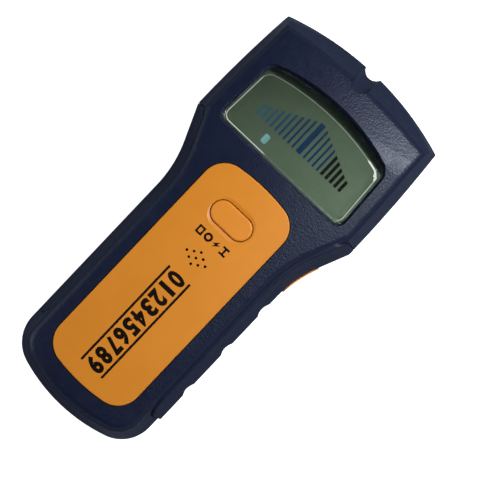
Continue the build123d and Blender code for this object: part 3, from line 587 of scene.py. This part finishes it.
def make_piece(name, mesh, material, body="case"):
    """Turns a bmesh into a piece that rides on a body."""
    data = bpy.data.meshes.new(name)
    bmesh.ops.recalc_face_normals(mesh, faces=mesh.faces)
    mesh.to_mesh(data)
    mesh.free()
    data.materials.append(material)
    piece = bpy.data.objects.new(name, data)
    bpy.context.scene.collection.objects.link(piece)
    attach(piece, body)
    return piece


def bend_over_crown(mesh):
    """Cuts the marks into strips and lays them on the crowned panel."""
    reach = max(abs(v.co.x) for v in mesh.verts)
    cuts = int(reach / PRINT_STRIP)
    for i in range(-cuts, cuts + 1):
        whole = mesh.verts[:] + mesh.edges[:] + mesh.faces[:]
        bmesh.ops.bisect_plane(mesh, geom=whole, plane_co=(i * PRINT_STRIP, 0, 0), plane_no=(1, 0, 0))
    panel_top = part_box("front_panel")[1].z
    for vertex in mesh.verts:
        drop = CROWN_RADIUS - math.sqrt(CROWN_RADIUS ** 2 - vertex.co.x ** 2)
        vertex.co.z += panel_top - drop


def polygon(x, y, radius, sides):
    angles = [2 * math.pi * i / sides for i in range(sides)]
    return [(x + radius * math.cos(a), y + radius * math.sin(a)) for a in angles]


def print_slab(mesh, outline):
    add_slab(mesh, outline, -PRINT_SINK, PRINT_HEIGHT)


def print_ring(mesh, outer, inner):
    add_ring(mesh, outer, inner, -PRINT_SINK, PRINT_HEIGHT)


def make_signs():
    """Four plain signs under the select button: a wall stud, a metal nut, a live wire and a joist."""
    mesh = bmesh.new()
    half = SIGN_HEIGHT / 2
    stud_x, nut_x, bolt_x, joist_x = [(i - 1.5) * SIGN_PITCH for i in range(4)]
    print_ring(mesh, rectangle(stud_x, SIGN_Y, SIGN_WIDTH, SIGN_HEIGHT),
               rectangle(stud_x, SIGN_Y, SIGN_WIDTH - 2 * SIGN_STROKE, SIGN_HEIGHT - 2 * SIGN_STROKE))
    print_ring(mesh, polygon(nut_x, SIGN_Y, half, ROUND_SIDES),
               polygon(nut_x, SIGN_Y, half - NUT_STROKE, ROUND_SIDES))
    print_slab(mesh, [(bolt_x + half * x, SIGN_Y + half * y) for x, y in BOLT])
    for side in (-1, 1):
        flange_y = SIGN_Y + side * (half - SIGN_STROKE / 2)
        print_slab(mesh, rectangle(joist_x, flange_y, SIGN_WIDTH, SIGN_STROKE))
    print_slab(mesh, rectangle(joist_x, SIGN_Y, SIGN_STROKE, SIGN_HEIGHT - 2 * SIGN_STROKE))
    bend_over_crown(mesh)
    make_piece("mode_signs", mesh, INK)


def add_digit(mesh, digit, y):
    """Adds one bold figure whose top faces +X."""
    text = bpy.data.curves.new("digit", "FONT")
    text.body = str(digit)
    text.align_x = "CENTER"
    text.align_y = "CENTER"
    text.size = DIGIT_HEIGHT / FIGURE_SHARE
    text.offset = DIGIT_BOLDNESS
    text.extrude = (PRINT_SINK + PRINT_HEIGHT) / 2
    text.resolution_u = 4
    holder = bpy.data.objects.new("digit", text)
    bpy.context.scene.collection.objects.link(holder)
    bpy.context.view_layer.update()
    figure = bpy.data.meshes.new_from_object(holder.evaluated_get(bpy.context.evaluated_depsgraph_get()))
    bpy.data.objects.remove(holder)
    middle = (PRINT_HEIGHT - PRINT_SINK) / 2
    xs = [v.co.x for v in figure.vertices]
    ys = [v.co.y for v in figure.vertices]
    centre = Vector(((min(xs) + max(xs)) / 2, (min(ys) + max(ys)) / 2, 0))
    narrow = Matrix.Scale(min(1, DIGIT_WIDTH / (max(xs) - min(xs))), 4, (1, 0, 0))
    turned = Matrix.Translation((0, y, middle)) @ Matrix.Rotation(-math.pi / 2, 4, "Z")
    place = turned @ narrow @ Matrix.Translation(-centre)
    figure.transform(place)
    mesh.from_mesh(figure)
    bpy.data.meshes.remove(figure)


def make_scale():
    """A plain row of figures, 0 to 9, between two lines down the panel."""
    mesh = bmesh.new()
    length = SCALE_Y[1] - SCALE_Y[0]
    middle = sum(SCALE_Y) / 2
    for x in (-RULE_X, RULE_X):
        print_slab(mesh, rectangle(x, middle, RULE_WIDTH, length))
    for digit in range(DIGIT_COUNT):
        add_digit(mesh, digit, middle + ((DIGIT_COUNT - 1) / 2 - digit) * DIGIT_PITCH)
    bmesh.ops.remove_doubles(mesh, verts=mesh.verts, dist=FLATNESS)
    bend_over_crown(mesh)
    make_piece("panel_scale", mesh, INK)


def bar_top(x):
    """Height of the picture's roof line over a place on the display."""
    reach = BAR_CENTRE * BAR_PITCH + BAR_SPREAD
    return BAR_TOPS[1] + (BAR_TOPS[0] - BAR_TOPS[1]) * min(1, abs(x - BAR_X) / reach)


def make_bars():
    """The row of signal bars: thin blue ones, a wide one in the middle, and black ones at the right."""
    glass_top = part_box("lcd_cell")[1].z
    blue, black = bmesh.new(), bmesh.new()
    for i in range(BAR_COUNT):
        step = i - BAR_CENTRE
        x = BAR_X + step * BAR_PITCH + (step > 0) * BAR_SPREAD - (step < 0) * BAR_SPREAD
        is_dark = i >= BAR_COUNT - DARK_BARS
        width = BAR_WIDTHS["dark" if is_dark else "thin" if step else "middle"]
        left, right = x - width / 2, x + width / 2
        outline = [(left, BAR_Y), (right, BAR_Y), (right, bar_top(right)), (left, bar_top(left))]
        add_slab(black if is_dark else blue, outline, glass_top, glass_top + SEGMENT_HEIGHT)
    blue_ink = segment_ink("segment_blue", (0.012, 0.055, 0.105), (0.002, 0.016, 0.050), *BLUE_FADE)
    black_ink = segment_ink("segment_black", (0.001, 0.002, 0.003), (0.001, 0.001, 0.001), *BLACK_FADE)
    make_piece("display_bars_blue", blue, blue_ink.material)
    make_piece("display_bars_black", black, black_ink.material)


def arc_height(x, end_y, middle_y):
    """Y of the arc of the painted shade band that passes through these places at its ends and its middle.
    """
    sag = middle_y - end_y
    radius = (SHADE_BAND_HALF ** 2 + sag ** 2) / (2 * sag)
    return middle_y - radius + math.sqrt(radius ** 2 - x ** 2)


def make_mask():
    """A black band laid on the glass above the picture, between two arcs: painted shade, where the lens's
    sloping upper edge only looks dark.
    """
    glass_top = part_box("lcd_cell")[1].z
    xs = [SHADE_BAND_HALF * (2 * i / SHADE_BAND_STEPS - 1) for i in range(SHADE_BAND_STEPS + 1)]
    inner, outer = [[(x, arc_height(x, *arc)) for x in xs] for arc in (SHADE_BAND_INNER, SHADE_BAND_OUTER)]
    mesh = bmesh.new()
    add_slab(mesh, inner + outer[::-1], glass_top, glass_top + SEGMENT_HEIGHT)
    # painted shade: near-black, a little fainter towards one end
    ink = segment_ink("painted_shade_black", (0.004, 0.006, 0.004), (0.006, 0.009, 0.006), *SHADE_BAND_FADE)
    make_piece("display_painted_shade", mesh, ink.material)


def top_outline(node):
    """The corners of a node's flat top in order, for a convex outline, and the top's height."""
    mesh = bmesh.new()
    mesh.from_mesh(node.data)
    mesh.transform(node.matrix_world)
    top = max(v.co.z for v in mesh.verts)
    flat = [v.co for v in mesh.verts if top - v.co.z < FLATNESS]
    middle = sum(flat, Vector()) / len(flat)
    bearings = {math.atan2(co.y - middle.y, co.x - middle.x): co.xy.copy() for co in flat}
    mesh.free()
    return [bearings[bearing] for bearing in sorted(bearings)], top


def spaced(outline, step):
    """The same closed outline, with no two corners further apart than this step."""
    points = []
    for i, start in enumerate(outline):
        end = outline[(i + 1) % len(outline)]
        parts = math.ceil((end - start).length / step)
        points += [start.lerp(end, k / parts) for k in range(parts)]
    return points


def rim_share(outward, x):
    """The share of RIM_WIDTH that a stretch of the lens's edge has, by the way it faces and where it is."""
    if outward.y < RIM_FACES_DOWN:
        return RIM_SHARES["lower" if x < RIM_BRIGHT_END else "lower right"]
    if outward.y > RIM_FACES_UP:
        return RIM_SHARES["upper right" if x > RIM_TOP_END else "upper"]
    return RIM_SHARES["side"]


def make_lens_rim():
    """A pale ring round the raised face of the lens: a painted highlight, widest where the edge catches the
    light.
    """
    outline, top = top_outline(frame["nodes"]["display_window"])
    outline = spaced(outline, RIM_STEP)
    inner, outer = [], []
    for i, corner in enumerate(outline):
        tangent = (outline[(i + 1) % len(outline)] - outline[i - 1]).normalized()
        outward = Vector((tangent.y, -tangent.x))
        reach = outward * RIM_WIDTH / 2 * rim_share(outward, corner.x)
        inner.append(tuple(corner - reach))
        outer.append(tuple(corner + reach))
    mesh = bmesh.new()
    add_ring(mesh, outer, inner, top - RIM_SINK, top + SEGMENT_HEIGHT)
    # painted highlight: a pale, patchy colour for the ring
    finish = Finish("painted_highlight_edge", (0.75, 0.78, 0.76), 0.5)
    finish.paint(finish.mix(finish.noise(1.5 * MM, 3), (0.55, 0.58, 0.56), (0.86, 0.88, 0.86)))
    finish.bump(finish.noise(0.1 * MM, 3), 0.01 * MM)
    make_piece("lens_painted_highlight", mesh, finish.material)


def make_cell_mark():
    """The small pale battery sign at the lower left of the display."""
    glass_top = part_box("lcd_cell")[1].z
    x, y, width, height = CELL_MARK
    mesh = bmesh.new()
    add_slab(mesh, rectangle(x, y, width, height), glass_top, glass_top + SEGMENT_HEIGHT)
    corners = [e for e in mesh.edges if abs(e.verts[0].co.z - e.verts[1].co.z) > SEGMENT_HEIGHT / 2]
    bmesh.ops.bevel(mesh, geom=corners, offset=CELL_MARK_CORNER, segments=3, profile=0.5, affect="EDGES")
    pale = segment_ink("segment_pale", (0.13, 0.26, 0.27), (0.09, 0.20, 0.22), x - width / 2, x + width / 2)
    make_piece("display_cell_mark", mesh, pale.material)


# ---- Floor ----
def make_floor():
    """A plain table that glows for the camera, so that it looks white and no shadow shows on it."""
    mesh = bmesh.new()
    bmesh.ops.create_grid(mesh, x_segments=1, y_segments=1, size=FLOOR_SIZE / 2)
    data = bpy.data.meshes.new("floor")
    mesh.to_mesh(data)
    mesh.free()
    floor = bpy.data.objects.new("floor", data)
    bpy.context.scene.collection.objects.link(floor)
    finish = Finish("floor", FLOOR_COLOUR, 0.9, specular=0.0)
    finish.shader.inputs["Emission Color"].default_value = (1, 1, 1, 1)
    seen = finish.node("LightPath").outputs["Is Camera Ray"]
    finish.paint(finish.mix(seen, FLOOR_REFLECTED, FLOOR_COLOUR))
    finish.feed(finish.shader.inputs["Emission Strength"], finish.remap(seen, 0, 1, 0, FLOOR_GLOW))
    data.materials.append(finish.material)


INK = ink_black().material

make_camera()
make_light("key", **KEY)
make_light("fill", **FILL)
make_sky()
make_floor()
finish_nodes()
make_signs()
make_scale()
make_bars()
make_mask()
make_lens_rim()
make_cell_mark()
bpy.context.scene.view_settings.view_transform = "Standard"
